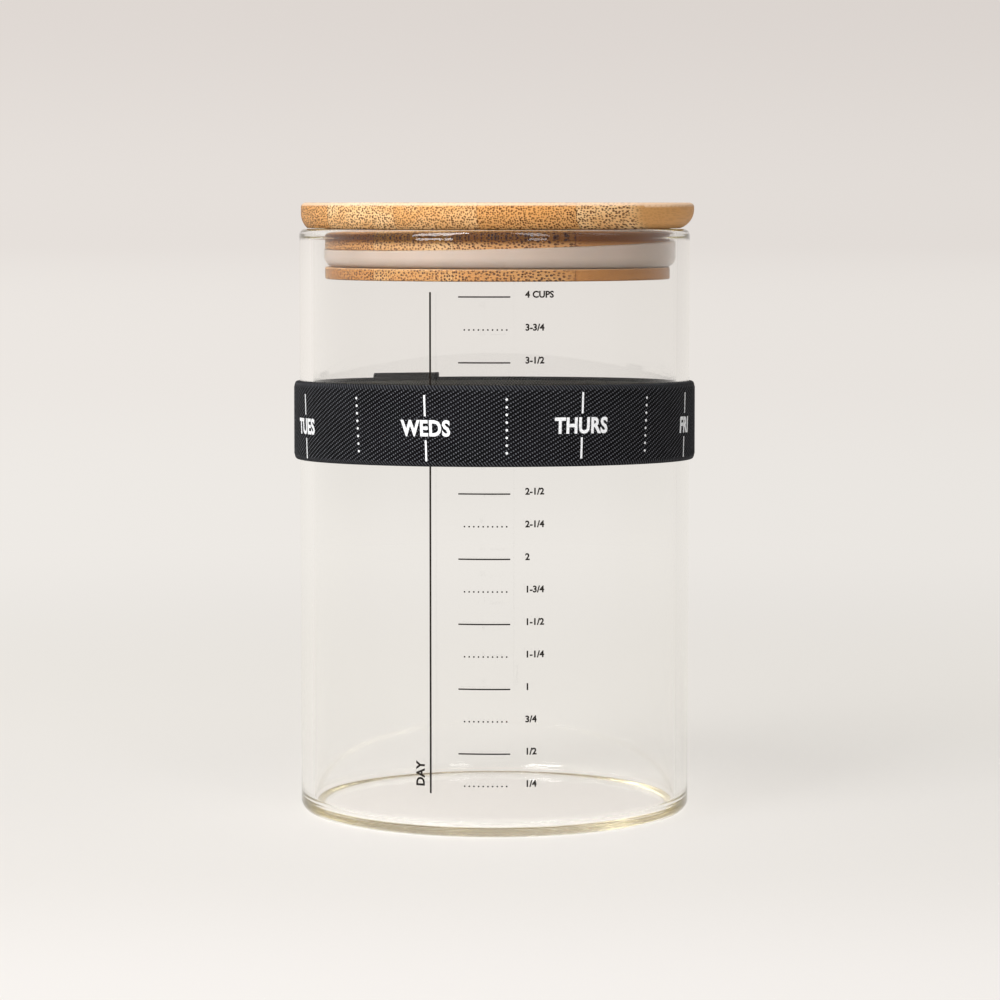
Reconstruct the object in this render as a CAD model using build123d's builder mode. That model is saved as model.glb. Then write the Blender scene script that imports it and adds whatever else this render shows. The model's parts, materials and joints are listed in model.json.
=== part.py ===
from build123d import *
import os
from math import cos, degrees, radians, sin

os.makedirs("parts", exist_ok=True)

# All lengths are in millimetres. The jar stands on the floor at Z = 0, on the Z axis, and its
# printed scale faces -Y.

# Glass jar
jar_radius = 51.3
jar_wall = 3.4
jar_height = 153.2
base_thickness = 2.0
base_outer_corner = 2.6
base_inner_corner = 3.0
rim_bulge = 0.2
rim_bead_height = 3.4

# Lid: three bamboo plies glued flat to each other, turned to a plug with a groove
ply_thickness = 6.6
lid_overhang = 0.3
lid_rim_gap = 0.2
lid_shift = 0.8
lid_top_edge = 1.2
lid_under_edge = 5.2
lid_under_sink = 0.85
lid_under_lean = 0.72
plug_play = 2.62
plug_edge = 0.4
flange_height = 3.1
groove_height = 4.6
groove_depth = 3.0

# Silicone seal in the groove, pushed over to one side, with its top edge askew
seal_bulge = 0.85
seal_glass_gap = 0.12
seal_height = 6.0
seal_lean = 1.8
seal_uphill = 39
seal_top_round = 1.0
seal_under_round = 2.7
seal_lip_gap = 0.05
seal_skirt = 0.3

# Elastic day band, a little higher in front: woven backing and rubber threads inside a printed face
band_middle = 103.05
band_tilt = 1.4
band_height = 20.4
band_glass_gap = 0.05
backing_thickness = 0.3
thread_size = 0.3
thread_count = 14
thread_margin = 0.8
face_gap = 0.07
face_thickness = 0.5
face_lip_height = 0.9
face_end_gap = 0.08
face_edge = 0.45

# Overlapped end of the band, sewn on the outside at the back
tab_azimuth = -150.5
tab_length = 21.9
tab_thickness = 1.3
tab_rise = 1.2
tab_edge = 0.4
stitch_rows_inset = 2.6
stitch_count = 8
stitch_margin = 2.2
stitch_length_share = 0.72
stitch_width = 0.4
stitch_height = 0.25

# What follows from the sizes above
bore_radius = jar_radius - jar_wall
rim_radius = (jar_wall + rim_bulge) / 2
rim_bore_radius = jar_radius - 2 * rim_radius

lid_radius = jar_radius + lid_overhang
plug_radius = bore_radius - plug_play
groove_radius = plug_radius - groove_depth
lid_under = jar_height + lid_rim_gap
plug_bottom = lid_under - 2 * ply_thickness
ply_joint = lid_under - ply_thickness
groove_bottom = plug_bottom + flange_height
groove_top = groove_bottom + groove_height

seal_radius = plug_radius + seal_bulge
seal_reach = rim_bore_radius - seal_glass_gap
seal_shift = seal_reach - seal_radius

tilt_rise = sin(radians(band_tilt))
tilt_share = cos(radians(band_tilt))
core_height = band_height - 2 * (face_lip_height + face_end_gap)
backing_inner = (jar_radius + band_glass_gap + core_height / 2 * tilt_rise) / tilt_share
lip_inner = (jar_radius + band_glass_gap + band_height / 2 * tilt_rise) / tilt_share
backing_outer = backing_inner + backing_thickness
threads_outer = backing_outer + thread_size
face_inner = threads_outer + face_gap
face_outer = face_inner + face_thickness
tab_outer = face_outer + tab_thickness


def leaning_section(origin, lean, uphill):
    """Section plane whose X climbs by the lean towards the uphill angle, from +X, and whose Y leans back."""
    along = Vector(cos(radians(uphill)), sin(radians(uphill)), 0)
    up = Vector(0, 0, 1)
    climb = along * cos(radians(lean)) + up * sin(radians(lean))
    stem = up * cos(radians(lean)) - along * sin(radians(lean))
    return Plane(origin=origin, x_dir=climb, z_dir=climb.cross(stem))


def level_of(section):
    """The plane that a section's X and its own normal span, so that its Z is the section's Y."""
    return Plane(origin=section.origin, x_dir=section.x_dir, z_dir=section.y_dir)


# The band's planes: azimuths run from the front, positive towards +X
front_angle = -90
band_section = leaning_section((0, 0, band_middle), band_tilt, front_angle)
band_level = level_of(band_section)
band_axis = Axis(band_section.origin, band_section.y_dir)


def band_section_at(azimuth):
    """Plane through the band's axis: its X points outwards at the azimuth, its Y along the axis."""
    turn = radians(azimuth)
    outwards = band_level.x_dir * cos(turn) + band_level.y_dir * sin(turn)
    return Plane(origin=band_level.origin, x_dir=outwards, z_dir=outwards.cross(band_level.z_dir))


# Glass jar: one turned wall with a rounded base corner and a fire-polished rim
with BuildPart() as jar_glass:
    with BuildSketch(Plane.XZ):
        with BuildLine():
            Line((0, 0), (jar_radius - base_outer_corner, 0))
            CenterArc((jar_radius - base_outer_corner, base_outer_corner), base_outer_corner, -90, 90)
            Line((jar_radius, base_outer_corner), (jar_radius, jar_height - rim_radius))
            ThreePointArc(
                (jar_radius, jar_height - rim_radius),
                (jar_radius - rim_radius, jar_height),
                (rim_bore_radius, jar_height - rim_radius),
            )
            Spline(
                (rim_bore_radius, jar_height - rim_radius),
                (bore_radius, jar_height - rim_bead_height),
                tangents=((0, -1), (0, -1)),
            )
            Line(
                (bore_radius, jar_height - rim_bead_height),
                (bore_radius, base_thickness + base_inner_corner),
            )
            CenterArc(
                (bore_radius - base_inner_corner, base_thickness + base_inner_corner),
                base_inner_corner, 0, -90,
            )
            Line((bore_radius - base_inner_corner, base_thickness), (0, base_thickness))
            Line((0, base_thickness), (0, 0))
        make_face()
    revolve(axis=Axis.Z)
jar_glass.part.label = "jar_glass"
export_step(jar_glass.part, "parts/jar_glass.step")

# Lid top ply: the wide disc that lies over the rim. Its lower edge is well rounded on a leaning
# plane, so that more is taken off on one side, and then cut level where the plug begins.
lid_under_section = leaning_section((lid_shift, 0, lid_under - lid_under_sink), lid_under_lean, 0)
with BuildPart() as lid_top_ply:
    with BuildSketch(Plane.XY.offset(lid_under - ply_thickness)):
        with Locations((lid_shift, 0)):
            Circle(lid_radius)
    extrude(amount=2 * ply_thickness)
    split(bisect_by=level_of(lid_under_section), keep=Keep.TOP)
    ends = lid_top_ply.faces().filter_by(GeomType.PLANE).sort_by(Axis.Z)
    fillet(ends[-1].edges(), lid_top_edge)
    fillet(ends[0].edges(), lid_under_edge)
    split(bisect_by=Plane.XY.offset(lid_under), keep=Keep.TOP)
lid_top_ply.part.label = "lid_top_ply"
export_step(lid_top_ply.part, "parts/lid_top_ply.step")

# Lid middle ply: the plug's upper land, stepped in at the top of the groove
with BuildPart() as lid_middle_ply:
    with BuildSketch(Plane.XY.offset(groove_top)):
        with Locations((lid_shift, 0)):
            Circle(plug_radius)
    extrude(amount=lid_under - groove_top)
    fillet(lid_middle_ply.edges().filter_by(GeomType.CIRCLE).sort_by(Axis.Z)[0], plug_edge)
    with BuildSketch(Plane.XY.offset(ply_joint)):
        with Locations((lid_shift, 0)):
            Circle(groove_radius)
    extrude(amount=groove_top - ply_joint)
lid_middle_ply.part.label = "lid_middle_ply"
export_step(lid_middle_ply.part, "parts/lid_middle_ply.step")

# Lid bottom ply: the plug's lower flange, stepped in at the bottom of the groove
with BuildPart() as lid_bottom_ply:
    with BuildSketch(Plane.XY.offset(plug_bottom)):
        with Locations((lid_shift, 0)):
            Circle(plug_radius)
    extrude(amount=flange_height)
    fillet(lid_bottom_ply.edges().filter_by(GeomType.CIRCLE), plug_edge)
    with BuildSketch(Plane.XY.offset(groove_bottom)):
        with Locations((lid_shift, 0)):
            Circle(groove_radius)
    extrude(amount=ply_joint - groove_bottom)
lid_bottom_ply.part.label = "lid_bottom_ply"
export_step(lid_bottom_ply.part, "parts/lid_bottom_ply.step")

# Lid seal: a round-edged ring off the lid's centre, so that it meets the glass on one side.
# Its top face leans, and over the groove it climbs the plug's land on that side.
seal_centre = (seal_shift, 0, groove_bottom)
seal_axis = Axis(seal_centre, (0, 0, 1))
seal_top_section = leaning_section(seal_centre, seal_lean, seal_uphill)
seal_top_axis = Axis(seal_centre, seal_top_section.y_dir)
seal_limit = 2 * seal_height
seal_top_radius = seal_radius + seal_skirt
with BuildPart() as lid_seal:
    with BuildSketch(Plane(origin=seal_centre, x_dir=(1, 0, 0), z_dir=(0, -1, 0))):
        with BuildLine():
            Line((0, 0), (seal_radius - seal_under_round, 0))
            CenterArc((seal_radius - seal_under_round, seal_under_round), seal_under_round, -90, 90)
            Line((seal_radius, seal_under_round), (seal_radius, seal_limit))
            Line((seal_radius, seal_limit), (0, seal_limit))
            Line((0, seal_limit), (0, 0))
        make_face()
    revolve(axis=seal_axis)
    with BuildSketch(seal_top_section):
        with BuildLine():
            Line((0, -seal_limit), (seal_top_radius, -seal_limit))
            Line((seal_top_radius, -seal_limit), (seal_top_radius, seal_height - seal_top_round))
            CenterArc(
                (seal_top_radius - seal_top_round, seal_height - seal_top_round), seal_top_round, 0, 90
            )
            Line((seal_top_radius - seal_top_round, seal_height), (0, seal_height))
            Line((0, seal_height), (0, -seal_limit))
        make_face()
    revolve(axis=seal_top_axis, mode=Mode.INTERSECT)
    with BuildSketch(Plane.XY.offset(groove_bottom)):
        with Locations((lid_shift, 0)):
            Circle(groove_radius)
    extrude(amount=seal_limit, mode=Mode.SUBTRACT)
    with BuildSketch(Plane.XY.offset(groove_top)):
        with Locations((lid_shift, 0)):
            Circle(plug_radius + seal_lip_gap)
    extrude(amount=seal_limit, mode=Mode.SUBTRACT)
lid_seal.part.label = "lid_seal"
export_step(lid_seal.part, "parts/lid_seal.step")

# Band backing: the woven inner layer that grips the glass
with BuildPart() as band_backing:
    with BuildSketch(band_level.offset(-core_height / 2)):
        Circle(backing_outer)
        Circle(backing_inner, mode=Mode.SUBTRACT)
    extrude(amount=core_height)
band_backing.part.label = "band_backing"
export_step(band_backing.part, "parts/band_backing.step")

# Rubber threads: square-cut rings, side by side on the backing
thread_pitch = (core_height - 2 * thread_margin) / (thread_count - 1)
with BuildPart() as band_rubber_threads:
    with BuildSketch(band_section):
        with Locations((backing_outer + thread_size / 2, 0)):
            with GridLocations(0, thread_pitch, 1, thread_count):
                Rectangle(thread_size, thread_size)
    revolve(axis=band_axis)
band_rubber_threads.part.label = "band_rubber_threads"
export_step(band_rubber_threads.part, "parts/band_rubber_threads.step")

# Band face: the woven outer layer, turned in at both edges, with its overlapped end outside
tab_angle = degrees(tab_length / tab_outer)
tab_start = tab_azimuth - tab_angle / 2
tab_root = face_inner + face_thickness / 2
with BuildPart() as band_face:
    with BuildSketch(band_section):
        with Locations((face_outer, 0)):
            outer = Rectangle(face_outer - lip_inner, band_height, align=(Align.MAX, Align.CENTER))
        fillet(outer.vertices().group_by(Axis.X)[-1], face_edge)
        with Locations((face_inner, 0)):
            Rectangle(
                face_inner - jar_radius, core_height + 2 * face_end_gap,
                align=(Align.MAX, Align.CENTER), mode=Mode.SUBTRACT,
            )
    revolve(axis=band_axis)
    with BuildSketch(band_section_at(tab_start)):
        with Locations((tab_outer, tab_rise)):
            end = Rectangle(tab_outer - tab_root, band_height, align=(Align.MAX, Align.CENTER))
        fillet(end.vertices().group_by(Axis.X)[-1], tab_edge)
    revolve(axis=band_axis, revolution_arc=tab_angle)
band_face.part.label = "band_face"
export_step(band_face.part, "parts/band_face.step")

# Seam stitches: two upright rows of thread on the overlapped end
stitch_pitch = (band_height - 2 * stitch_margin) / stitch_count
stitch_angle = degrees(stitch_width / tab_outer)
row_inset_angle = degrees(stitch_rows_inset / tab_outer)
stitch_rows = (tab_start + row_inset_angle, tab_start + tab_angle - row_inset_angle - stitch_angle)
with BuildPart() as band_seam_stitches:
    for row_angle in stitch_rows:
        with BuildSketch(band_section_at(row_angle)):
            with Locations((tab_outer + stitch_height / 2, tab_rise)):
                with GridLocations(0, stitch_pitch, 1, stitch_count):
                    Rectangle(stitch_height, stitch_pitch * stitch_length_share)
        revolve(axis=band_axis, revolution_arc=stitch_angle)
band_seam_stitches.part.label = "band_seam_stitches"
export_step(band_seam_stitches.part, "parts/band_seam_stitches.step")
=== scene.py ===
import json
import math

import bmesh
import bpy
from mathutils import Matrix, Vector


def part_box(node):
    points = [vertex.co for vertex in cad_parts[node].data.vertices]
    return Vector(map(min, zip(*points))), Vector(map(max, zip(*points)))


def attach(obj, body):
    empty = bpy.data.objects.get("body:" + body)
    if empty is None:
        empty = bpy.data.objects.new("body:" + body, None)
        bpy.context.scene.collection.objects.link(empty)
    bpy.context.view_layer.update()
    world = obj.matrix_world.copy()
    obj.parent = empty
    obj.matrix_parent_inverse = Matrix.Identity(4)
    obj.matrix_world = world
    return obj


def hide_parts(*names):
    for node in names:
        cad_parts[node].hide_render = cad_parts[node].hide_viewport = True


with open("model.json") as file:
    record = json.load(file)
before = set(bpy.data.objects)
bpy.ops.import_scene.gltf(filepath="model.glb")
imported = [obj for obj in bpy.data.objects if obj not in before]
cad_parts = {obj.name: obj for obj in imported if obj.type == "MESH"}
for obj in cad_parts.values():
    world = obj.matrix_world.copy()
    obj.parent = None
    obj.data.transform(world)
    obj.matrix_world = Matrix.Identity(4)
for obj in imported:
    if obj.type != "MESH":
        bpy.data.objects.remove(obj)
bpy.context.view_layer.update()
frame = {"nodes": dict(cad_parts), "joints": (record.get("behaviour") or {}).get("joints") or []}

# Metres. Azimuths are in degrees from the front (-Y), positive towards +X.
MM = 0.001

# Places that follow from the frame
jar_low, jar_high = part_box("jar_glass")
face_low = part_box("band_face")[0]
turn_joint = next(joint for joint in frame["joints"] if joint["name"] == "band_turn")
band_axis = Vector(turn_joint["axis"])

JAR_RADIUS = jar_high.x
JAR_HEIGHT = jar_high.z
BAND_RADIUS = -face_low.x

# The band's own frame: its middle at the origin, its axis along Z. The band is a little askew.
BAND_TURN = Vector((0, 0, 1)).rotation_difference(band_axis)
BAND_FRAME = Matrix.Translation(Vector(turn_joint["pos_m"])) @ BAND_TURN.to_matrix().to_4x4()

# Glass
WALL = 3.4 * MM
BASE = 2.0 * MM
OUTER_CORNER = 2.6 * MM
INNER_CORNER = 3.0 * MM
RIM_BULGE = 0.2 * MM
RIM_BEAD = 2.7 * MM
RIM_TALL = 1.8 * MM
GLASS_SEGMENTS = 288
GLASS_BOUNCES = 160
GLASS_TINT = (0.90, 0.87, 0.71, 1)
GLASS_TINT_DENSITY = 10.0

# Printed scale on the glass
INK_LIFT = 0.02 * MM
INK_THICK = 0.03 * MM
QUARTER_CUP = 8.21 * MM
FIRST_MARK = 13.4 * MM
MARK_COUNT = 16
LINE_AZIMUTH = -18.2
LINE_WIDTH = 0.48 * MM
LINE_LOW = 11.3 * MM
LINE_HIGH = 137.7 * MM
TICK_LEFT = -10.1
TICK_RIGHT = 4.5
TICK_WIDTH = 0.35 * MM
DOT_LEFT = -8.35
DOT_RIGHT = 3.5
DOT_COUNT = 10
DOT_SIZE = 0.44 * MM
NUMERAL_AZIMUTH = 8.7
NUMERAL_CAP = 1.78 * MM
NUMERAL_RISE = 0.65 * MM
NUMERAL_WEIGHT = 0.034
LEGEND_WEIGHT = 0.035
LEGEND_AZIMUTH = -21.3
LEGEND_CAP = 2.35 * MM
LEGEND_LOW = 13.0 * MM

# Day band
BAND_HEIGHT = 20.4 * MM
FACE_THICK = 0.5 * MM
LIP_REACH = 0.32 * MM
LIP_HEIGHT = 0.9 * MM
EDGE_ROUND = 0.7 * MM
EDGE_TALL = 1.2 * MM
LIP_ROUND = 0.3 * MM
RIB_TURNS = 171
KNOT_TURNS = 381
RIB_RISE = 1.11 * MM
KNOT_RISE = 1.10 * MM
RIB_RELIEF = 0.13 * MM
KNOT_RELIEF = 0.07 * MM
SELVEDGE = 1.1 * MM
BAND_STEPS = 1524
BAND_ROWS = 84
TAB_AZIMUTH = -150.5
TAB_LENGTH = 21.9 * MM
TAB_THICK = 1.3 * MM
TAB_RISE = 1.2 * MM
DAYS = (
    ("MON", -114.0, 0.3), ("TUES", -67.0, 1.1), ("WEDS", -19.1, 0.55), ("THURS", 24.7, -0.1),
    ("FRI", 68.4, 0.7), ("SAT", 113.0, 0.3), ("SUN", 158.5, 0.3),
)
HALF_DAYS = (-90.5, -40.9, 3.4, 46.8, 90.5, 135.8)
DAY_LEAN = 100.0
DAY_LEAN_MIDDLE = 4.0
DAY_CAP = 4.2 * MM
DAY_WEIGHT = 0.034
DAY_WIDTH = 0.84
DAY_SPACING = 1.05
DAY_LINE_WIDTH = 0.5 * MM
DAY_LINE_LENGTH = 5.3 * MM
DAY_LINE_INSET = 1.9 * MM
HALF_DOTS = 8
HALF_DOT_SIZE = 0.66 * MM
HALF_DOT_SPAN = 13.4 * MM
PRINT_THICK = 0.06 * MM

# Letters
LETTER_WELD = 0.0001
WELD = 0.0001 * MM
BEND_STEP = 0.8 * MM

# Sewn end
STITCH_COUNT = 8
STITCH_INSET = 2.6 * MM
STITCH_MARGIN = 2.2 * MM
STITCH_SHARE = 0.72
STITCH_RISE = 0.18 * MM
STITCH_DIP = 0.12 * MM
STITCH_STEPS = 10
THREAD_RADIUS = 0.17 * MM

# Bamboo
LID_GRAIN = -20.0
PLUG_GRAIN = -38.0
STRIP_WIDTH = 22 * MM
CLOSE_BUNDLES = 0.53 * MM
WIDE_BUNDLES = 0.6 * MM
FLAT_FACE_DEPTH = 0.45
PLUG_COARSE = 1.2
STRIP_TONES = (0.6, 0.5)
PLAIN_FADE = 3 * MM
TOP_STRIP_EDGE = -8.5 * MM
TOP_PLAIN_FROM = 48 * MM
PLUG_STRIP_EDGE = 19 * MM
MIDDLE_PLAIN_FROM = 43 * MM
BOTTOM_PLAIN_FROM = 42 * MM
SWAY = 1.6 * MM
SWAY_ACROSS = 14 * MM
SWAY_ALONG = 38 * MM
FIBRE_ACROSS = 0.22 * MM
FIBRE_ALONG = 30 * MM
CLOUD_ACROSS = 7 * MM
CLOUD_ALONG = 60 * MM
CLOUD_TALL = 5 * MM
NODE_SPACING = 0.23
# Painted shadow of the lid on the plug: full within the smaller depth below shade_top, faded out at
# the larger
LID_SHADOW_DEPTH = 4.2 * MM
LID_SHADOW_FULL_DEPTH = 2.6 * MM
WOOD_RELIEF = 0.04 * MM
# Shares of painted shade, with a deeper tone, on the plug's plies under the lid
MIDDLE_SHADE = 0.3
BOTTOM_SHADE = 0.62

# Rubber, cloth and ink
SILICONE_DEPTH = 3 * MM
SILICONE_RELIEF = 0.01 * MM
TWILL_RELIEF = 0.09 * MM
BACKING_RELIEF = 0.08 * MM
BACKING_PITCH = 0.9 * MM
THREAD_RELIEF = 0.03 * MM
RUBBER_RELIEF = 0.02 * MM
PRINT_RELIEF = 0.02 * MM
INK_RELIEF = 0.004 * MM

# Camera, fitted to the printed marks, the jar's sides and its base
FOCAL_PX = 3615.0
FRAME_PX = 1000.0
SENSOR = 36.0
CAMERA_BACK = 0.953
CAMERA_RIGHT = 0.00145
CAMERA_UP = 0.1594
HORIZON_PX = 205.0
CAMERA_REACH = 50.0

# Stage and light
FRONT_TONE = (240, 236, 232)
FLOOR_TONES = (
    (-0.24, -0.08, (233, 229, 224)),
    (0.0, 0.2, (236, 232, 226)),
    (0.25, 0.55, (236, 232, 227)),
    (0.9, 2.4, (234, 229, 224)),
    (2.0, 14.0, (228, 222, 217)),
)
# Painted shade: the floor and backdrop darken by this share towards the right, away from the key lamp
SIDE_FALL = 0.17
FLOOR_SIDE = 60.0
FLOOR_GAP = 0.2 * MM
SHADOW_SHARE = 0.26
SHADOW_REACH = (0.1, 0.75)
ROOM_DARK = (0.0, 0.0, 0.0, 1.0)
ROOM_MIRRORED = 0.2
ROOM_BENT = 0.9
ROOM_LIGHT = 0.17
ROOM_BEHIND = (-0.1, 0.85)
ROOM_REACH = (0.7, 1.3)
SKY_RISE = (0.0, 0.06)
LAMP_DISTANCE = 1.2
LAMPS = (
    ("key_panel", -41, 45, 0.35, 1.1, 13.0),
    ("key_panel_narrow", -28.5, 45, 0.1, 1.1, 3.4),
    ("fill_panel", 27, 45, 0.24, 1.1, 4.0),
    ("side_panel", 75, 42, 0.35, 0.5, 0.6),
)


def srgb(red, green, blue):
    """Linear colour with alpha from 8-bit display values."""
    def linear(value):
        share = value / 255
        return share / 12.92 if share <= 0.04045 else ((share + 0.055) / 1.055) ** 2.4
    return (linear(red), linear(green), linear(blue), 1.0)


PALE_BAMBOO = srgb(246, 208, 156)
WARM_BAMBOO = srgb(218, 154, 84)
PLAIN_BAMBOO = srgb(208, 152, 90)
BROWN_BAMBOO = srgb(78, 32, 4)
# Painted highlight on the rounded edges that face up
EDGE_HIGHLIGHT_BAMBOO = srgb(244, 214, 186)
# Darker colour multiplied into the plug's plies for painted shade and a deeper tone
PAINTED_SHADE_BAMBOO = srgb(148, 116, 10)
PALE_SILICONE = srgb(184, 167, 155)
DULL_SILICONE = srgb(175, 159, 147)
BLACK_YARN = srgb(6, 6, 8)
FADED_YARN = srgb(13, 13, 16)
# Light grey of the painted glints on the yarn
LIT_YARN = srgb(114, 116, 123)
YARN_SHEEN = srgb(190, 190, 195)
SKY_TONE = srgb(221, 214, 209)
ROOM_TONE = srgb(255, 251, 246)
INK_TONES = (srgb(26, 22, 19), srgb(38, 33, 28))
PRINT_TONES = (srgb(250, 251, 253), srgb(222, 224, 228))
THREAD_TONES = (srgb(30, 30, 34), srgb(58, 58, 64))
BACKING_TONES = (srgb(128, 126, 116), srgb(26, 26, 26))
RUBBER_TONES = (srgb(70, 68, 64), srgb(54, 52, 50))


def polar(radius, azimuth, height):
    """A point at a radius from the jar's axis, at an azimuth in degrees and a height."""
    turn = math.radians(azimuth)
    return Vector((radius * math.sin(turn), -radius * math.cos(turn), height))


class Graph:
    """A material or world node tree, built a node at a time."""

    def __init__(self, owner):
        owner.use_nodes = True
        self.owner = owner
        self.tree = owner.node_tree
        self.tree.nodes.clear()

    def add(self, kind, sockets=None, **settings):
        node = self.tree.nodes.new(kind)
        for name, value in settings.items():
            setattr(node, name, value)
        for name, value in (sockets or {}).items():
            self.feed(node.inputs[name], value)
        return node

    def feed(self, socket, value):
        if isinstance(value, bpy.types.NodeSocket):
            self.tree.links.new(value, socket)
        elif isinstance(value, bpy.types.Node):
            self.tree.links.new(value.outputs[0], socket)
        else:
            socket.default_value = value

    def math(self, operation, first, second=0.0, third=0.0):
        return self.add(
            "ShaderNodeMath", {0: first, 1: second, 2: third}, operation=operation
        ).outputs[0]

    def ramp(self, value, low, high, to_low=0.0, to_high=1.0):
        """Smooth step of value from low to high."""
        return self.add(
            "ShaderNodeMapRange",
            {"Value": value, "From Min": low, "From Max": high, "To Min": to_low, "To Max": to_high},
            interpolation_type="SMOOTHSTEP",
        ).outputs[0]

    def mix(self, share, first, second, blend="MIX"):
        return self.add(
            "ShaderNodeMix", {0: share, 6: first, 7: second}, data_type="RGBA", blend_type=blend
        ).outputs[2]

    def noise(self, vector, scale, detail=2.0, roughness=0.5):
        return self.add(
            "ShaderNodeTexNoise",
            {"Vector": vector, "Scale": scale, "Detail": detail, "Roughness": roughness},
        ).outputs[0]

    def scaled(self, vector, scale):
        """Vector with each axis multiplied."""
        return self.add(
            "ShaderNodeVectorMath", {0: vector, 1: scale}, operation="MULTIPLY"
        ).outputs[0]

    def bump(self, height, distance, strength=1.0):
        return self.add(
            "ShaderNodeBump", {"Height": height, "Distance": distance, "Strength": strength}
        ).outputs[0]

    def surface(self, shader):
        self.add("ShaderNodeOutputMaterial", {"Surface": shader})
        return self.owner


def new_graph(name):
    return Graph(bpy.data.materials.new(name))


def object_axes(graph):
    """Object coordinates as a vector, and apart as x, y and z."""
    vector = graph.add("ShaderNodeTexCoord").outputs["Object"]
    parts = graph.add("ShaderNodeSeparateXYZ", {0: vector})
    return vector, parts.outputs[0], parts.outputs[1], parts.outputs[2]


def clear_glass():
    """Borosilicate glass with a faint green-yellow body that shows where it is thick."""
    graph = new_graph("clear_glass")
    glass = graph.add(
        "ShaderNodeBsdfPrincipled",
        {
            "Base Color": (1.0, 1.0, 1.0, 1.0), "Roughness": 0.0, "IOR": 1.474,
            "Transmission Weight": 1.0,
        },
    )
    clear = graph.add("ShaderNodeBsdfTransparent", {"Color": (0.93, 0.93, 0.92, 1.0)})
    lamps = graph.add("ShaderNodeLightPath").outputs["Is Shadow Ray"]
    shown = graph.add("ShaderNodeMixShader", {0: lamps, 1: glass, 2: clear})
    body = graph.add(
        "ShaderNodeVolumeAbsorption", {"Color": GLASS_TINT, "Density": GLASS_TINT_DENSITY}
    )
    graph.add("ShaderNodeOutputMaterial", {"Surface": shown, "Volume": body})
    return graph.owner


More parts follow.
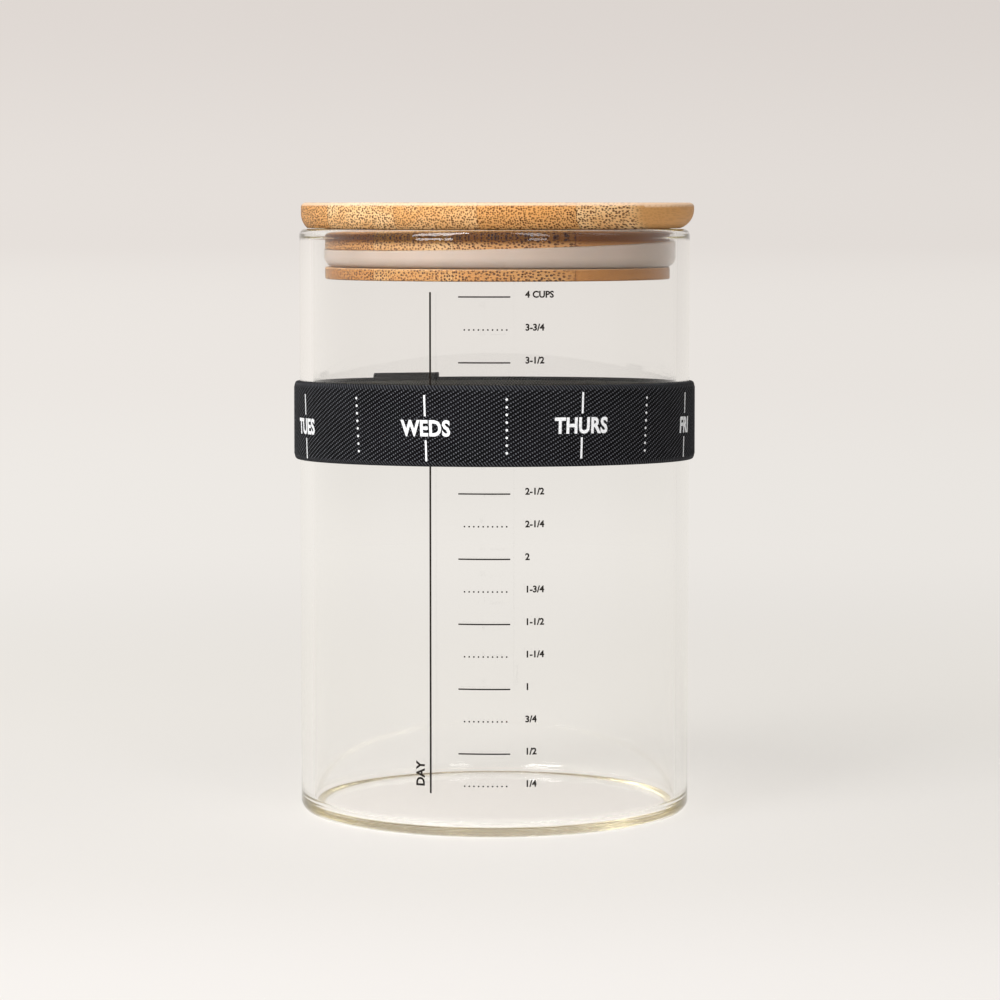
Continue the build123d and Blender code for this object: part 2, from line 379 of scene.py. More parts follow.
def bamboo(name, grain, strip_edge, plain_from, seed, coarse=1.0, shade=0.0, shade_top=None):
    """Laminated bamboo: fibre bundles run along the grain and show as dots where it ends.

    Beyond plain_from a strip's side faces out and shows no dots. Shade is the share of painted shade,
    a multiply by a darker colour that also deepens the tone; with shade_top it rises to full near
    shade_top, where the lid's shadow falls on the plug.
    """
    graph = new_graph(name)
    vector = graph.add("ShaderNodeTexCoord").outputs["Object"]
    turned = graph.add(
        "ShaderNodeMapping",
        {"Vector": vector, "Rotation": (0, 0, math.radians(-grain))},
    ).outputs[0]
    axes = graph.add("ShaderNodeSeparateXYZ", {0: turned}).outputs
    across, along, height = axes[0], axes[1], axes[2]
    place = graph.math("DIVIDE", graph.math("SUBTRACT", across, strip_edge), STRIP_WIDTH)
    strip = graph.math("FLOOR", place)
    strip_tone = graph.math("FRACT", graph.math("MULTIPLY_ADD", strip, *STRIP_TONES))
    chance = graph.add(
        "ShaderNodeTexWhiteNoise", {"W": graph.math("ADD", strip, seed)}, noise_dimensions="1D"
    )
    strip_shift = chance.outputs["Color"]

    # Bundles wander a little along the grain, and lie closer in some strips
    drift_space = graph.scaled(turned, (1 / SWAY_ACROSS, 1 / SWAY_ALONG, 1 / SWAY_ACROSS))
    sway = graph.add("ShaderNodeTexNoise", {"Vector": drift_space, "Scale": 1.0, "Detail": 1.0})
    sway = graph.scaled(sway.outputs["Color"], (SWAY, SWAY, 0.0))
    flat = graph.add("ShaderNodeCombineXYZ", {0: across, 1: height}).outputs[0]
    flat = graph.add("ShaderNodeVectorMath", {0: flat, 1: sway}, operation="ADD").outputs[0]
    flat = graph.add("ShaderNodeVectorMath", {0: flat, 1: strip_shift}, operation="ADD").outputs[0]
    pitch = graph.math("MULTIPLY_ADD", strip_tone, WIDE_BUNDLES - CLOSE_BUNDLES, CLOSE_BUNDLES)
    pitch = graph.math("MULTIPLY", pitch, coarse)
    cells = graph.add(
        "ShaderNodeTexVoronoi",
        {"Vector": flat, "Scale": graph.math("DIVIDE", 1.0, pitch), "Randomness": 0.8},
        voronoi_dimensions="2D",
    )
    cell_tone = graph.add("ShaderNodeSeparateXYZ", {0: cells.outputs["Color"]}).outputs[0]
    reach = graph.math("MULTIPLY_ADD", cell_tone, 0.14, 0.26)
    inside = graph.math("SUBTRACT", reach, cells.outputs["Distance"])
    bundles = graph.ramp(inside, -0.05, 0.05)
    dotted = graph.ramp(across, plain_from - PLAIN_FADE, plain_from, 1.0, 0.12)
    bundles = graph.math("MULTIPLY", bundles, dotted)

    fibre_space = graph.scaled(turned, (1 / FIBRE_ACROSS, 1 / FIBRE_ALONG, 1 / FIBRE_ACROSS))
    fibres = graph.noise(fibre_space, 1.0, 3.0, 0.6)
    cloud_space = graph.scaled(turned, (1 / CLOUD_ACROSS, 1 / CLOUD_ALONG, 1 / CLOUD_TALL))
    clouds = graph.noise(cloud_space, 1.0, 2.0, 0.5)

    ground = graph.mix(graph.ramp(clouds, 0.3, 0.7, 0.0, 0.6), PALE_BAMBOO, WARM_BAMBOO)
    ground = graph.mix(graph.ramp(strip_tone, 0.2, 0.8, 0.75, 0.0), ground, WARM_BAMBOO)
    ground = graph.mix(graph.ramp(fibres, 0.35, 0.8, 0.0, 0.35), ground, WARM_BAMBOO)
    ground = graph.mix(graph.math("SUBTRACT", 1.0, dotted), ground, PLAIN_BAMBOO)
    depth = graph.math("MULTIPLY_ADD", cell_tone, 0.2, 0.8)
    depth = graph.math("MULTIPLY", depth, graph.ramp(clouds, 0.35, 0.75, 1.0, 0.75))
    # On the flat faces the bundles lie along the surface and show less
    facing = graph.add("ShaderNodeTexCoord").outputs["Normal"]
    facing = graph.add("ShaderNodeSeparateXYZ", {0: facing}).outputs[2]
    flatness = graph.math("ABSOLUTE", facing)
    depth = graph.math("MULTIPLY", depth, graph.ramp(flatness, 0.9, 0.99, 1.0, FLAT_FACE_DEPTH))
    colour = graph.mix(graph.math("MULTIPLY", bundles, depth), ground, BROWN_BAMBOO)
    edge = graph.math("ABSOLUTE", graph.math("SUBTRACT", graph.math("FRACT", place), 0.5))
    colour = graph.mix(graph.ramp(edge, 0.493, 0.5, 0.0, 0.5), colour, BROWN_BAMBOO)

    # Growth nodes cross each strip at places of their own
    knots = graph.math(
        "ADD", graph.math("DIVIDE", along, NODE_SPACING), graph.math("MULTIPLY", strip_tone, 7.0)
    )
    knots = graph.math("ABSOLUTE", graph.math("SUBTRACT", graph.math("FRACT", knots), 0.5))
    knots = graph.ramp(knots, 0.485, 0.5, 0.0, 0.35)
    colour = graph.mix(knots, colour, BROWN_BAMBOO)
    # Painted highlight: the rounded edges that face up are made paler, as if lit from above
    edge_highlight = graph.math(
        "MULTIPLY", graph.ramp(facing, 0.1, 0.7, 0.0, 0.75), graph.ramp(facing, 0.9, 0.99, 1.0, 0.0)
    )
    colour = graph.mix(edge_highlight, colour, EDGE_HIGHLIGHT_BAMBOO)
    # Painted shade: multiplied by a darker colour at the share given by shade, and in full near
    # shade_top where the lid's shadow falls
    if shade_top is not None:
        shade = graph.ramp(height, shade_top - LID_SHADOW_DEPTH, shade_top - LID_SHADOW_FULL_DEPTH, shade, 1.0)
    colour = graph.mix(shade, colour, PAINTED_SHADE_BAMBOO, "MULTIPLY")

    relief = graph.math("SUBTRACT", fibres, bundles)
    wood = graph.add(
        "ShaderNodeBsdfPrincipled",
        {
            "Base Color": colour, "Roughness": graph.ramp(fibres, 0.2, 0.8, 0.42, 0.6),
            "Normal": graph.bump(relief, WOOD_RELIEF, 0.7), "IOR": 1.45, "Specular IOR Level": 0.15,
        },
    )
    return graph.surface(wood)


def silicone():
    """Translucent pale silicone rubber, smooth, with faint moulding marks and dust."""
    graph = new_graph("silicone")
    vector, _, _, _ = object_axes(graph)
    cloud = graph.noise(vector, 60.0, 3.0, 0.5)
    colour = graph.mix(graph.ramp(cloud, 0.3, 0.7), PALE_SILICONE, DULL_SILICONE)
    fine = graph.noise(vector, 2600.0, 2.0, 0.5)
    rubber = graph.add(
        "ShaderNodeBsdfPrincipled",
        {
            "Base Color": colour, "Roughness": graph.ramp(cloud, 0.2, 0.8, 0.3, 0.42),
            "IOR": 1.41, "Subsurface Weight": 0.6, "Subsurface Radius": (1.0, 0.8, 0.6),
            "Subsurface Scale": SILICONE_DEPTH, "Normal": graph.bump(fine, SILICONE_RELIEF, 0.3),
        },
    )
    return graph.surface(rubber)


def band_place(graph):
    """Azimuth in radians and height of a place in the band's own frame."""
    place = graph.add(
        "ShaderNodeMapping",
        {
            "Vector": graph.add("ShaderNodeTexCoord").outputs["Object"],
            "Location": BAND_FRAME.to_translation(), "Rotation": BAND_FRAME.to_euler(),
        },
        vector_type="TEXTURE",
    )
    x, y, height = graph.add("ShaderNodeSeparateXYZ", {0: place}).outputs[0:3]
    return graph.math("ARCTAN2", x, graph.math("MULTIPLY", y, -1.0)), height


def weave_phases(graph):
    """The twill's two phases at a place on the band, from its azimuth and height."""
    turn, height = band_place(graph)
    rib = graph.math(
        "SUBTRACT", graph.math("MULTIPLY", turn, float(RIB_TURNS)),
        graph.math("MULTIPLY", height, 2 * math.pi / RIB_RISE),
    )
    knot = graph.math(
        "ADD", graph.math("MULTIPLY", turn, float(KNOT_TURNS)),
        graph.math("MULTIPLY", height, 2 * math.pi / KNOT_RISE),
    )
    rib_share = graph.math("MULTIPLY_ADD", graph.math("COSINE", rib), 0.5, 0.5)
    knot_share = graph.math("MULTIPLY_ADD", graph.math("COSINE", knot), 0.5, 0.5)
    edge = graph.math("SUBTRACT", BAND_HEIGHT / 2, graph.math("ABSOLUTE", height))
    return rib_share, knot_share, edge


def woven_black(name):
    """Black twill elastic: satin floats on diagonal ribs, and small plain ribs along the selvedge."""
    graph = new_graph(name)
    rib, knot, edge = weave_phases(graph)
    vector, _, _, _ = object_axes(graph)
    fuzz = graph.noise(vector, 2600.0, 3.0, 0.7)
    patches = graph.noise(vector, 130.0, 2.0, 0.5)
    inside = graph.ramp(edge, SELVEDGE * 0.7, SELVEDGE * 1.3)
    floats = graph.ramp(graph.math("MULTIPLY", rib, knot), 0.4, 0.85)
    cords = graph.math("MULTIPLY", graph.ramp(knot, 0.4, 0.95), 0.35)
    # Painted glints: the floats, and the cords along the selvedge, are coloured light grey for the
    # yarn's shine under the lamps
    shine = graph.math("MULTIPLY", floats, graph.ramp(fuzz, 0.3, 0.7, 0.45, 1.0))
    shine = graph.add("ShaderNodeMix", {0: inside, 2: cords, 3: shine}, data_type="FLOAT").outputs[0]
    colour = graph.mix(graph.ramp(patches, 0.3, 0.7), BLACK_YARN, FADED_YARN)
    colour = graph.mix(shine, colour, LIT_YARN)
    height = graph.math(
        "ADD", graph.math("MULTIPLY", rib, 0.5), graph.math("MULTIPLY", floats, 0.5)
    )
    height = graph.math("ADD", height, graph.math("MULTIPLY", fuzz, 0.35))
    cloth = graph.add(
        "ShaderNodeBsdfPrincipled",
        {
            "Base Color": colour, "Roughness": 0.75, "IOR": 1.5, "Specular IOR Level": 0.08,
            "Sheen Weight": 0.02, "Sheen Roughness": 0.5, "Sheen Tint": YARN_SHEEN,
            "Normal": graph.bump(height, TWILL_RELIEF, 0.8),
        },
    )
    return graph.surface(cloth)


def plain_weave(name, light, dark, pitch):
    """Fine upright ribs crossed by rows, for the band's inner face."""
    graph = new_graph(name)
    vector, _, _, _ = object_axes(graph)
    turn, height = band_place(graph)
    columns = graph.math("SINE", graph.math("MULTIPLY", turn, float(KNOT_TURNS)))
    rows = graph.math("SINE", graph.math("MULTIPLY", height, 2 * math.pi / pitch))
    weave = graph.math("MULTIPLY_ADD", graph.math("MULTIPLY", columns, rows), 0.5, 0.5)
    fuzz = graph.noise(vector, 2200.0, 3.0, 0.6)
    colour = graph.mix(graph.math("MULTIPLY", weave, fuzz), dark, light)
    cloth = graph.add(
        "ShaderNodeBsdfPrincipled",
        {
            "Base Color": colour, "Roughness": 0.7, "Sheen Weight": 0.3,
            "Normal": graph.bump(weave, BACKING_RELIEF, 0.7),
        },
    )
    return graph.surface(cloth)


def speckled(name, colour, other, roughness, scale, bump_height, gloss=0.5):
    """A plain finish with a little grain in its colour and surface."""
    graph = new_graph(name)
    vector, _, _, _ = object_axes(graph)
    grain = graph.noise(vector, scale, 3.0, 0.6)
    shader = graph.add(
        "ShaderNodeBsdfPrincipled",
        {
            "Base Color": graph.mix(graph.ramp(grain, 0.3, 0.7), colour, other),
            "Roughness": roughness, "Normal": graph.bump(grain, bump_height, 0.6),
            "Specular IOR Level": gloss,
        },
    )
    return graph.surface(shader)


def linked(name, data):
    """A new object in the scene for a mesh, curve, camera or lamp."""
    piece = bpy.data.objects.new(name, data)
    bpy.context.scene.collection.objects.link(piece)
    return piece


def mesh_piece(name, vertices, faces, material, smooth=True):
    mesh = bpy.data.meshes.new(name)
    mesh.from_pydata(vertices, [], faces)
    mesh.validate()
    if smooth:
        mesh.shade_smooth()
    mesh.materials.append(material)
    return linked(name, mesh)


def merged(mesh, distance):
    """A mesh opened for editing, with the points that lie within a distance made one."""
    shape = bmesh.new()
    shape.from_mesh(mesh)
    bmesh.ops.remove_doubles(shape, verts=shape.verts, dist=distance)
    return shape


def arc(centre, radius, start, end, steps, tall=None):
    """Points on an arc, or with tall on a quarter oval, in the profile plane, angles in degrees."""
    angles = [math.radians(start + (end - start) * i / steps) for i in range(steps + 1)]
    rise = radius if tall is None else tall
    return [(centre[0] + radius * math.cos(a), centre[1] + rise * math.sin(a)) for a in angles]


def run(start, end):
    """A straight stretch of outline, with close points by its ends to hold the flat shading."""
    shares = (0.0, 0.004, 0.02, 0.25, 0.5, 0.75, 0.98, 0.996, 1.0)
    return [tuple(a + (b - a) * share for a, b in zip(start, end)) for share in shares]


def jar_profile():
    """The glass wall's closed outline as (radius, height), from under the base round to inside."""
    rim = (WALL + RIM_BULGE) / 2
    bore = JAR_RADIUS - WALL
    rim_bore = JAR_RADIUS - 2 * rim
    steps = 16
    points = run((0.0, 0.0), (JAR_RADIUS - OUTER_CORNER, 0.0))
    points += arc((JAR_RADIUS - OUTER_CORNER, OUTER_CORNER), OUTER_CORNER, -90, 0, steps)[1:]
    points += run((JAR_RADIUS, OUTER_CORNER), (JAR_RADIUS, JAR_HEIGHT - RIM_TALL))[1:]
    rim_middle = (JAR_RADIUS - rim, JAR_HEIGHT - RIM_TALL)
    points += arc(rim_middle, rim, 0, 180, 2 * steps, tall=RIM_TALL)[1:]
    for i in range(1, steps + 1):
        share = i / steps
        ease = share * share * (3 - 2 * share)
        points.append((
            rim_bore + (bore - rim_bore) * ease,
            JAR_HEIGHT - RIM_TALL - (RIM_BEAD - RIM_TALL) * share,
        ))
    points += run((bore, JAR_HEIGHT - RIM_BEAD), (bore, BASE + INNER_CORNER))[1:]
    points += arc((bore - INNER_CORNER, BASE + INNER_CORNER), INNER_CORNER, 0, -90, steps)[1:]
    points += run((bore - INNER_CORNER, BASE), (0.0, BASE))[1:]
    return points


def lathe(name, profile, segments, material):
    """A closed solid turned from an outline that starts and ends on the axis."""
    vertices = []
    rings = []
    for radius, height in profile:
        if radius == 0.0:
            rings.append([len(vertices)] * segments)
            vertices.append((0.0, 0.0, height))
        else:
            rings.append(list(range(len(vertices), len(vertices) + segments)))
            for i in range(segments):
                angle = 2 * math.pi * i / segments
                vertices.append((radius * math.cos(angle), radius * math.sin(angle), height))
    faces = []
    for low, high in zip(rings, rings[1:]):
        for i in range(segments):
            j = (i + 1) % segments
            corners = (low[i], low[j], high[j], high[i])
            face = tuple(dict.fromkeys(corners))
            faces.append(face)
    return mesh_piece(name, vertices, faces, material)


def wrapped(name, flat_mesh, radius, azimuth, height, material, body, place=Matrix(), lean=0.0):
    """Bends a flat mesh round an axis: its X runs round, its Y up and its Z outwards.

    The lean is how far it turns, in degrees for each metre of height above the axis frame's middle.
    """
    shape = merged(flat_mesh, WELD)
    xs = [v.co.x for v in shape.verts]
    cut = math.ceil(min(xs) / BEND_STEP) * BEND_STEP
    while cut < max(xs):
        geometry = shape.verts[:] + shape.edges[:] + shape.faces[:]
        bmesh.ops.bisect_plane(shape, geom=geometry, plane_co=(cut, 0, 0), plane_no=(1, 0, 0))
        cut += BEND_STEP
    bmesh.ops.recalc_face_normals(shape, faces=shape.faces[:])
    for v in shape.verts:
        rise = height + v.co.y
        turn = azimuth + math.degrees(v.co.x / radius) + lean * rise
        v.co = polar(radius + v.co.z, turn, rise)
    mesh = bpy.data.meshes.new(name)
    shape.to_mesh(mesh)
    shape.free()
    mesh.transform(place)
    mesh.materials.append(material)
    piece = linked(name, mesh)
    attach(piece, body)
    return piece


def text_mesh(words, cap, weight, thick, align="LEFT", upright=False, spacing=1.0, width=1.0):
    """Flat letters of a given cap height, standing out by thick, with a share of their width."""
    curve = bpy.data.curves.new("letters", "FONT")
    curve.body = words
    curve.size = 1.0
    curve.align_x = align
    curve.space_character = spacing
    curve.resolution_u = 3
    letters = linked("letters", curve)
    bpy.context.view_layer.update()
    mesh = bpy.data.meshes.new_from_object(letters)
    bpy.data.objects.remove(letters)
    make_heavier(mesh, weight)
    low = min(v.co.y for v in mesh.vertices)
    high = max(v.co.y for v in mesh.vertices)
    scale = cap / (high - low)
    mesh.transform(Matrix.Translation((0, -(low + high) / 2, 0)))
    mesh.transform(Matrix.Diagonal((scale * width, scale, scale, 1.0)))
    if upright:
        mesh.transform(Matrix.Rotation(math.pi / 2, 4, "Z"))
    return thickened(mesh, thick)


def make_heavier(mesh, weight):
    """Moves a flat mesh's outline outwards by a weight and keeps its corners sharp."""
    shape = merged(mesh, LETTER_WELD)
    moves = []
    for vertex in shape.verts:
        outward = []
        for edge in vertex.link_edges:
            if edge.is_boundary:
                along = edge.verts[1].co - edge.verts[0].co
                side = Vector((along.y, -along.x, 0.0)).normalized()
                inwards = edge.link_faces[0].calc_center_median() - edge.verts[0].co
                outward.append(-side if side.dot(inwards) > 0 else side)
        if len(outward) == 2:
            moves.append((vertex, (outward[0] + outward[1]) / (1 + outward[0].dot(outward[1]))))
    for vertex, move in moves:
        vertex.co += weight * move
    shape.to_mesh(mesh)
    shape.free()


def thickened(mesh, thick):
    """Gives a flat mesh a thickness along Z, closed all round."""
    shape = merged(mesh, WELD)
    made = bmesh.ops.extrude_face_region(shape, geom=shape.faces[:])
    raised = [v for v in made["geom"] if isinstance(v, bmesh.types.BMVert)]
    bmesh.ops.translate(shape, verts=raised, vec=(0, 0, thick))
    solid = bpy.data.meshes.new("solid")
    shape.to_mesh(solid)
    shape.free()
    return solid


def patch_mesh(rectangles, thick):
    """Flat upright rectangles, each (left, bottom, right, top), standing out by thick."""
    vertices, faces = [], []
    for left, bottom, right, top in rectangles:
        start = len(vertices)
        vertices += [(left, bottom, 0), (right, bottom, 0), (right, top, 0), (left, top, 0)]
        faces.append((start, start + 1, start + 2, start + 3))
    mesh = bpy.data.meshes.new("patches")
    mesh.from_pydata(vertices, [], faces)
    return thickened(mesh, thick)


def dot_mesh(centres, diameter, thick, sides=10):
    """Flat round dots at the given centres, standing out by thick."""
    radius = diameter / 2
    vertices, faces = [], []
    for x, y in centres:
        start = len(vertices)
        for i in range(sides):
            angle = 2 * math.pi * i / sides
            vertices.append((x + radius * math.cos(angle), y + radius * math.sin(angle), 0))
        faces.append(tuple(range(start, start + sides)))
    mesh = bpy.data.meshes.new("dots")
    mesh.from_pydata(vertices, [], faces)
    return thickened(mesh, thick)


def span_along(radius, left, right):
    """Half the length round the jar between two azimuths, and the azimuth midway."""
    return math.radians(right - left) * radius / 2, (left + right) / 2


def numeral(count):
    """How a number of quarter cups is written, such as 3-1/4."""
    whole, quarters = divmod(count, 4)
    part = ("", "1/4", "1/2", "3/4")[quarters]
    words = "-".join(filter(None, (str(whole) if whole else "", part)))
    return words + " CUPS" if count == MARK_COUNT else words


def build_scale(ink):
    """The printed scale: the start line, a mark for each quarter cup, numerals and a legend."""
    radius = JAR_RADIUS + INK_LIFT
    line = patch_mesh([(-LINE_WIDTH / 2, 0, LINE_WIDTH / 2, LINE_HIGH - LINE_LOW)], INK_THICK)
    pieces = [wrapped("scale_line", line, radius, LINE_AZIMUTH, LINE_LOW, ink, "jar")]
    for count in range(1, MARK_COUNT + 1):
        height = FIRST_MARK + (count - 1) * QUARTER_CUP
        if count % 2:
            half, middle = span_along(radius, DOT_LEFT, DOT_RIGHT)
            xs = [-half + 2 * half * i / (DOT_COUNT - 1) for i in range(DOT_COUNT)]
            mark = dot_mesh([(x, 0) for x in xs], DOT_SIZE, INK_THICK)
        else:
            half, middle = span_along(radius, TICK_LEFT, TICK_RIGHT)
            mark = patch_mesh([(-half, -TICK_WIDTH / 2, half, TICK_WIDTH / 2)], INK_THICK)
        pieces.append(wrapped(f"scale_mark_{count:02d}", mark, radius, middle, height, ink, "jar"))
        words = text_mesh(numeral(count), NUMERAL_CAP, NUMERAL_WEIGHT, INK_THICK)
        pieces.append(
            wrapped(f"scale_numeral_{count:02d}", words, radius, NUMERAL_AZIMUTH,
                    height + NUMERAL_RISE, ink, "jar")
        )
    legend = text_mesh("DAY", LEGEND_CAP, LEGEND_WEIGHT, INK_THICK, upright=True)
    pieces.append(wrapped("scale_legend", legend, radius, LEGEND_AZIMUTH, LEGEND_LOW, ink, "jar"))


def weave_relief(turn, height, edge):
    """How far the yarns stand out, from azimuth in radians, height and distance to the edge."""
    rib = 0.5 + 0.5 * math.cos(RIB_TURNS * turn - 2 * math.pi * height / RIB_RISE)
    knot = 0.5 + 0.5 * math.cos(KNOT_TURNS * turn + 2 * math.pi * height / KNOT_RISE)
    twill = RIB_RELIEF * rib + KNOT_RELIEF * rib * knot
    cord = KNOT_RELIEF * (0.5 + 0.5 * math.cos(KNOT_TURNS * turn))
    share = min(1.0, max(0.0, (edge - SELVEDGE * 0.7) / (SELVEDGE * 0.6)))
    return cord + (twill - cord) * share


def strap_section(inner, outer, rise=0.0, lip_inner=None, lip_height=0.0):
    """Closed outline (radius, height, share of relief) of a strap with round outer corners."""
    bottom, top = rise - BAND_HEIGHT / 2, rise + BAND_HEIGHT / 2
    lip = inner if lip_inner is None else lip_inner
    steps = 6
    rows = []
    for radius, height in arc((lip + LIP_ROUND, bottom + LIP_ROUND), LIP_ROUND, 180, 270, 3):
        rows.append((radius, height, 0.3))
    low_corner = (outer - EDGE_ROUND, bottom + EDGE_TALL)
    for radius, height in arc(low_corner, EDGE_ROUND, -90, 0, steps, EDGE_TALL):
        rows.append((radius, height, 0.5))
    for i in range(1, BAND_ROWS):
        height = bottom + EDGE_TALL + (top - bottom - 2 * EDGE_TALL) * i / BAND_ROWS
        rows.append((outer, height, 1.0))
    high_corner = (outer - EDGE_ROUND, top - EDGE_TALL)
    for radius, height in arc(high_corner, EDGE_ROUND, 0, 90, steps, EDGE_TALL):
        rows.append((radius, height, 0.5))
    for radius, height in arc((lip + LIP_ROUND, top - LIP_ROUND), LIP_ROUND, 90, 180, 3):
        rows.append((radius, height, 0.3))
    if lip_inner is not None:
        rows.append((lip, top - lip_height, 0.0))
        rows.append((inner, top - lip_height, 0.0))
        rows.append((inner, bottom + lip_height, 0.0))
        rows.append((lip, bottom + lip_height, 0.0))
    return rows


def strap(name, section, start, end, steps, material, rise=0.0):
    """A woven strap swept round the band's axis between azimuths in degrees, its ends closed."""
    whole_turn = abs(end - start - 360) < 0.001
    columns = steps if whole_turn else steps + 1
    vertices = []
    for i in range(columns):
        azimuth = start + (end - start) * i / steps
        turn = math.radians(azimuth)
        for radius, height, share in section:
            relief = weave_relief(turn, height, BAND_HEIGHT / 2 - abs(height - rise))
            vertices.append(polar(radius + share * relief, azimuth, height))
    count = len(section)
    faces = []
    for i in range(steps):
        here, there = i * count, ((i + 1) % columns) * count
        for j in range(count):
            k = (j + 1) % count
            faces.append((here + j, there + j, there + k, here + k))
    if not whole_turn:
        faces.append(tuple(range(count)))
        last = (columns - 1) * count
        faces.append(tuple(last + j for j in reversed(range(count))))
    piece = mesh_piece(name, vertices, faces, material)
    piece.data.transform(BAND_FRAME)
    return piece


def build_band(cloth, white, thread):
    """The woven face with its overlapped end, the printed days and the seam's stitches."""
    lip = JAR_RADIUS + LIP_REACH
    face_inner = BAND_RADIUS - FACE_THICK
    section = strap_section(face_inner, BAND_RADIUS - RIB_RELIEF, 0.0, lip, LIP_HEIGHT)
    face = strap("band_woven_face", section, -180, 180, BAND_STEPS, cloth)
    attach(face, "band")
    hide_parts("band_face")

    tab_outer = BAND_RADIUS + TAB_THICK
    half_angle = math.degrees(TAB_LENGTH / tab_outer) / 2
    tab_section = strap_section(BAND_RADIUS, tab_outer - RIB_RELIEF, TAB_RISE)
    tab_steps = round(BAND_STEPS * half_angle / 180)
    tab = strap(
        "band_overlapped_end", tab_section, TAB_AZIMUTH - half_angle, TAB_AZIMUTH + half_angle,
        tab_steps, cloth, TAB_RISE,
    )
    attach(tab, "band")
    build_days(white)
    build_stitches(thread, tab_outer, half_angle)


def build_days(white):
    """Printed day names, the line above and below each, and dots at each half day."""
    top = BAND_HEIGHT / 2 - DAY_LINE_INSET
    bars = [
        (-DAY_LINE_WIDTH / 2, -top, DAY_LINE_WIDTH / 2, DAY_LINE_LENGTH - top),
        (-DAY_LINE_WIDTH / 2, top - DAY_LINE_LENGTH, DAY_LINE_WIDTH / 2, top),
    ]
    prints = []
    for day, azimuth, drop in DAYS:
        words = text_mesh(
            day, DAY_CAP, DAY_WEIGHT, PRINT_THICK,
            align="CENTER", spacing=DAY_SPACING, width=DAY_WIDTH,
        )
        lines = patch_mesh(bars, PRINT_THICK)
        prints.append((f"day_name_{day.lower()}", words, azimuth, -drop * MM))
        prints.append((f"day_lines_{day.lower()}", lines, azimuth, -drop * MM))
    ys = [HALF_DOT_SPAN * (k / (HALF_DOTS - 1) - 0.5) for k in range(HALF_DOTS)]
    for i, azimuth in enumerate(HALF_DAYS):
        dots = dot_mesh([(0, y) for y in ys], HALF_DOT_SIZE, PRINT_THICK)
        prints.append((f"half_day_{i + 1}", dots, azimuth, 0.0))
    radius = BAND_RADIUS + KNOT_RELIEF * 0.4
    for name, mesh, azimuth, height in prints:
        lean = DAY_LEAN * math.sin(math.radians(azimuth - DAY_LEAN_MIDDLE))
        piece = wrapped(name, mesh, radius, azimuth, height, white, "band", BAND_FRAME, lean)


def tube(points, radius, sides=8):
    """Vertices and faces of a closed round tube along points."""
    vertices, faces = [], []
    for i, point in enumerate(points):
        ahead = points[min(i + 1, len(points) - 1)] - points[max(i - 1, 0)]
        out = Vector((point.x, point.y, 0)).normalized()
        side = ahead.normalized().cross(out).normalized()
        out = side.cross(ahead.normalized())
        for k in range(sides):
            angle = 2 * math.pi * k / sides
            vertices.append(point + radius * (math.cos(angle) * out + math.sin(angle) * side))
    for i in range(len(points) - 1):
        for k in range(sides):
            n = (k + 1) % sides
            faces.append((i * sides + k, i * sides + n, (i + 1) * sides + n, (i + 1) * sides + k))
    faces.append(tuple(reversed(range(sides))))
    faces.append(tuple((len(points) - 1) * sides + k for k in range(sides)))
    return vertices, faces


def build_stitches(thread, tab_outer, half_angle):
    """Two upright rows of stitches that dip into the cloth at their ends."""
    rows_inset = math.degrees(STITCH_INSET / tab_outer)
    pitch = (BAND_HEIGHT - 2 * STITCH_MARGIN) / STITCH_COUNT
    length = pitch * STITCH_SHARE
    vertices, faces = [], []
    for azimuth in (TAB_AZIMUTH - half_angle + rows_inset, TAB_AZIMUTH + half_angle - rows_inset):
        for i in range(STITCH_COUNT):
            centre = TAB_RISE + (i - (STITCH_COUNT - 1) / 2) * pitch
            points = []
            for k in range(STITCH_STEPS + 1):
                share = k / STITCH_STEPS * 2 - 1
                lift = STITCH_RISE * (1 - share ** 4) - STITCH_DIP * share ** 4
                points.append(polar(tab_outer + lift, azimuth, centre + share * length / 2))
            more_vertices, more_faces = tube(points, THREAD_RADIUS)
            start = len(vertices)
            vertices += more_vertices
            faces += [tuple(start + c for c in face) for face in more_faces]
    stitches = mesh_piece("seam_thread", vertices, faces, thread)
    stitches.data.transform(BAND_FRAME)
    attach(stitches, "band")
    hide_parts("band_seam_stitches")


def build_camera():
    """A long lens at the photograph's height and distance, pitched down to its horizon."""
    data = bpy.data.cameras.new("camera")
    data.sensor_width = SENSOR
    data.lens = FOCAL_PX * SENSOR / FRAME_PX
    data.clip_end = CAMERA_REACH
    camera = linked("camera", data)
    pitch = math.atan((FRAME_PX / 2 - HORIZON_PX) / FOCAL_PX)
    camera.location = (CAMERA_RIGHT, -CAMERA_BACK, CAMERA_UP)
    camera.rotation_euler = (math.pi / 2 - pitch, 0, 0)
    bpy.context.scene.camera = camera


def room_tone(graph, ahead):
    """How bright the room is to reflected and bent rays: the backdrop is lit, the front is dim."""
    paths = graph.add("ShaderNodeLightPath").outputs
    behind = graph.ramp(ahead, *ROOM_BEHIND)
    mirrored = graph.math("MULTIPLY_ADD", behind, 1 - ROOM_MIRRORED, ROOM_MIRRORED)
    bent = graph.math("MULTIPLY_ADD", behind, 1 - ROOM_BENT, ROOM_BENT)
    mirror_ray = graph.math("SUBTRACT", paths["Is Glossy Ray"], paths["Is Transmission Ray"])
    dim = graph.math("MULTIPLY", mirror_ray, graph.math("SUBTRACT", 1.0, mirrored))
    dim_bent = graph.math("MULTIPLY", paths["Is Transmission Ray"], graph.math("SUBTRACT", 1.0, bent))
    seen = graph.math("MAXIMUM", paths["Is Camera Ray"], paths["Is Glossy Ray"])
    seen = graph.math("MAXIMUM", seen, paths["Is Transmission Ray"])
    return seen, graph.math("MAXIMUM", dim, dim_bent)


def darker_aside(graph, colour, across):
    """A tone that darkens from left to right: painted shade, as the lamps light the floor and
    backdrop more from the left.
    """
    side = graph.math("MULTIPLY_ADD", across, -SIDE_FALL, 1.0)
    grey = graph.add("ShaderNodeCombineXYZ", {0: side, 1: side, 2: side})
    return graph.mix(1.0, colour, grey, "MULTIPLY")


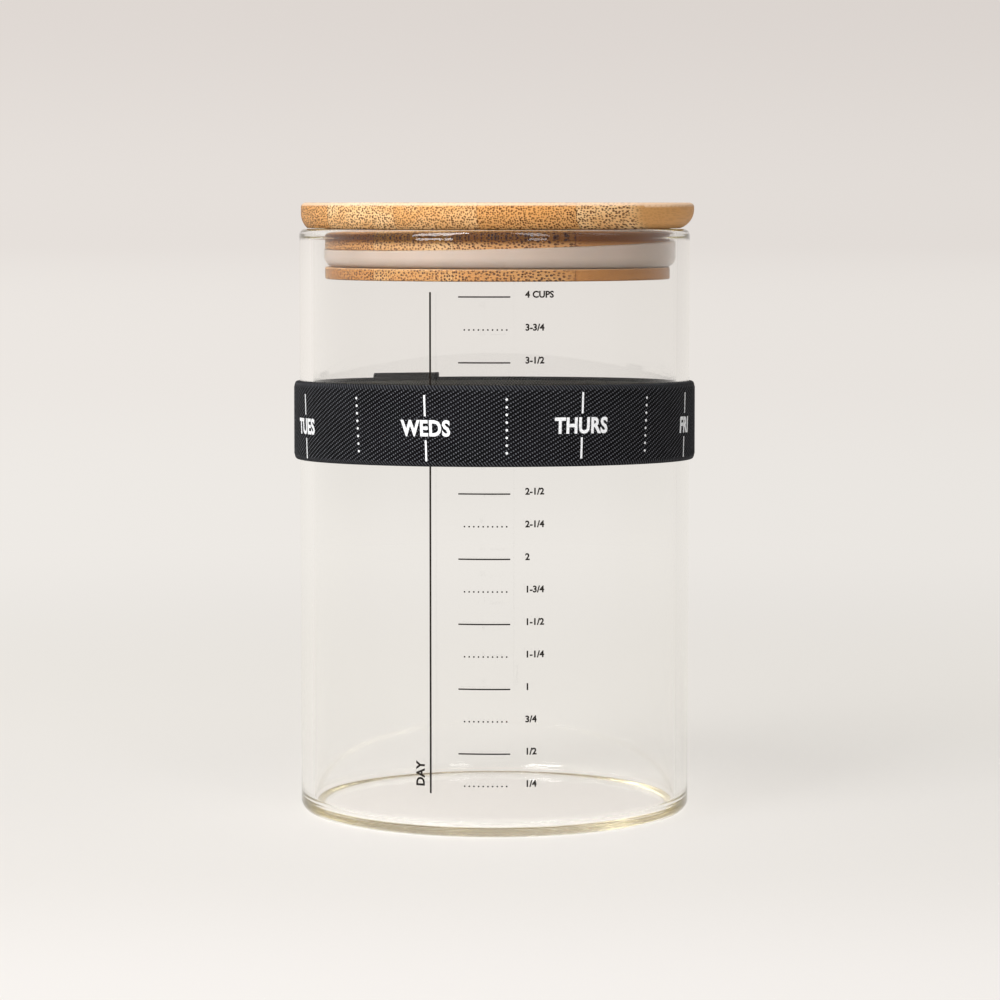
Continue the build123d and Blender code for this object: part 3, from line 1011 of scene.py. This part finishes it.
def build_floor():
    """A pale sweep, lighter in front, that keeps soft shadows near the object."""
    graph = new_graph("pale_paper")
    vector, x, y, _ = object_axes(graph)
    distance = graph.add("ShaderNodeVectorMath", {0: vector}, operation="LENGTH").outputs["Value"]
    colour = srgb(*FRONT_TONE)
    for start, end, tone in FLOOR_TONES:
        colour = graph.mix(graph.ramp(y, start, end), colour, srgb(*tone))
    across = graph.math("DIVIDE", x, graph.math("ADD", distance, 1.0))
    colour = darker_aside(graph, colour, across)
    seen, dim = room_tone(graph, graph.math("DIVIDE", y, graph.math("MAXIMUM", distance, 0.01)))
    dim = graph.math("MULTIPLY", dim, graph.ramp(distance, *ROOM_REACH))
    painted = graph.mix(dim, colour, ROOM_DARK)
    paper = graph.add("ShaderNodeBsdfDiffuse", {"Color": colour})
    glow = graph.add("ShaderNodeEmission", {"Color": painted, "Strength": 1.0})
    share = graph.ramp(distance, *SHADOW_REACH, SHADOW_SHARE, 0.0)
    both = graph.add("ShaderNodeMixShader", {0: share, 1: glow, 2: paper})
    graph.surface(graph.add("ShaderNodeMixShader", {0: seen, 1: paper, 2: both}))
    corners = ((-1, -1), (1, -1), (1, 1), (-1, 1))
    floor = mesh_piece(
        "floor", [(FLOOR_SIDE * x, FLOOR_SIDE * y, -FLOOR_GAP) for x, y in corners],
        [(0, 1, 2, 3)], graph.owner, smooth=False,
    )


def build_world():
    """Soft room light, and the floor's far tone behind the object for the rays that see it."""
    world = bpy.data.worlds.new("studio")
    bpy.context.scene.world = world
    graph = Graph(world)
    direction = graph.add("ShaderNodeTexCoord").outputs["Generated"]
    parts = graph.add("ShaderNodeSeparateXYZ", {0: direction}).outputs
    colour = graph.mix(graph.ramp(parts[2], *SKY_RISE), srgb(*FLOOR_TONES[-1][2]), SKY_TONE)
    colour = darker_aside(graph, colour, parts[0])
    seen, dim = room_tone(graph, parts[1])
    shown = graph.add(
        "ShaderNodeBackground", {"Color": graph.mix(dim, colour, ROOM_DARK), "Strength": 1.0}
    )
    light = graph.add("ShaderNodeBackground", {"Color": ROOM_TONE, "Strength": ROOM_LIGHT})
    both = graph.add("ShaderNodeMixShader", {0: seen, 1: light, 2: shown})
    graph.add("ShaderNodeOutputWorld", {"Surface": both})


def softbox(name, azimuth, elevation, width, height, power):
    """An area lamp that looks at the jar's middle."""
    data = bpy.data.lights.new(name, "AREA")
    data.shape = "RECTANGLE"
    data.size = width
    data.size_y = height
    data.energy = power
    lamp = linked(name, data)
    target = Vector((0, 0, JAR_HEIGHT / 2))
    away = polar(math.cos(math.radians(elevation)), azimuth, math.sin(math.radians(elevation)))
    lamp.location = target + away * LAMP_DISTANCE
    lamp.rotation_euler = away.to_track_quat("Z", "Y").to_euler()


def build_lights():
    for lamp in LAMPS:
        softbox(*lamp)


build_camera()
build_world()
build_floor()
build_lights()

glass = lathe("jar_clear_glass", jar_profile(), GLASS_SEGMENTS, clear_glass())
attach(glass, "jar")
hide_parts("jar_glass")

ink = speckled(
    "brown_ink", *INK_TONES, roughness=0.7, scale=900.0, bump_height=INK_RELIEF, gloss=0.1
)
white = speckled(
    "white_print", *PRINT_TONES, roughness=0.7, scale=2400.0, bump_height=PRINT_RELIEF
)
build_scale(ink)

cloth = woven_black("woven_black")
thread = speckled(
    "black_thread", *THREAD_TONES, roughness=0.6, scale=3000.0, bump_height=THREAD_RELIEF
)
build_band(cloth, white, thread)

node_materials = {
    "lid_top_ply": bamboo(
        "bamboo_top", LID_GRAIN, TOP_STRIP_EDGE, TOP_PLAIN_FROM, seed=3.0
    ),
    "lid_middle_ply": bamboo(
        "bamboo_middle", PLUG_GRAIN, PLUG_STRIP_EDGE, MIDDLE_PLAIN_FROM, seed=11.0,
        coarse=PLUG_COARSE, shade=MIDDLE_SHADE, shade_top=JAR_HEIGHT,
    ),
    "lid_bottom_ply": bamboo(
        "bamboo_bottom", PLUG_GRAIN, PLUG_STRIP_EDGE, BOTTOM_PLAIN_FROM, seed=21.0,
        coarse=PLUG_COARSE, shade=BOTTOM_SHADE,
    ),
    "lid_seal": silicone(),
    "band_backing": plain_weave("backing_weave", *BACKING_TONES, BACKING_PITCH),
    "band_rubber_threads": speckled(
        "grey_rubber", *RUBBER_TONES, roughness=0.6, scale=1500.0, bump_height=RUBBER_RELIEF
    ),
}
for node, material in node_materials.items():
    slots = frame["nodes"][node].data.materials
    slots.clear()
    slots.append(material)

bpy.context.scene.view_settings.view_transform = "Standard"

# Light that enters the glass wall may be reflected many times before it leaves
bounces = bpy.context.scene.cycles
bounces.max_bounces = GLASS_BOUNCES
bounces.transmission_bounces = GLASS_BOUNCES
bounces.glossy_bounces = GLASS_BOUNCES
